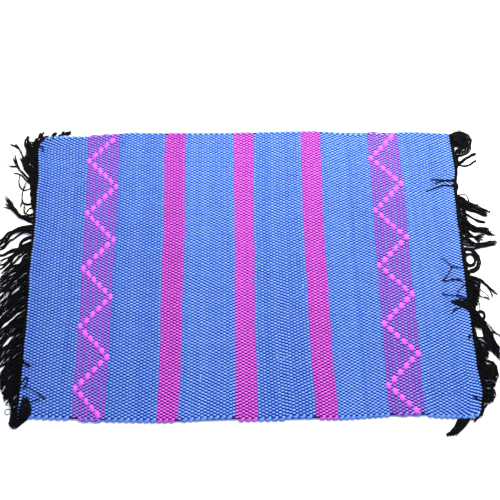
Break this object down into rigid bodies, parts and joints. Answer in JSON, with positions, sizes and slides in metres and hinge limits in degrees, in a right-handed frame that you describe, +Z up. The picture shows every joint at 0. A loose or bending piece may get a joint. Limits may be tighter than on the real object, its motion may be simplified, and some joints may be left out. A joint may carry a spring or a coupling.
{
  "type": "dhurrie rug",
  "caption": "Flat-woven cotton rug lying flat, blue with pink stripes and raised zigzag bands, with loose black warp fringe at its ends.",
  "frame": {"origin": "middle of the underside of the woven cloth, on the floor", "axes": "+X along the rug's length towards the right fringe, +Y across it towards the far long edge, +Z up"},
  "size_m": [1.0494, 0.6526, 0.0097],
  "materials": {
    "weft_blue": "matt cotton rag weft",
    "weft_pink": "matt cotton rag weft",
    "warp_black": "twisted cotton yarn with a faint sheen"
  },
  "bodies": {
    "root": {"cloth": "weft_blue", "fringe_left": "warp_black", "fringe_right": "warp_black"}
  },
  "joints": []
}
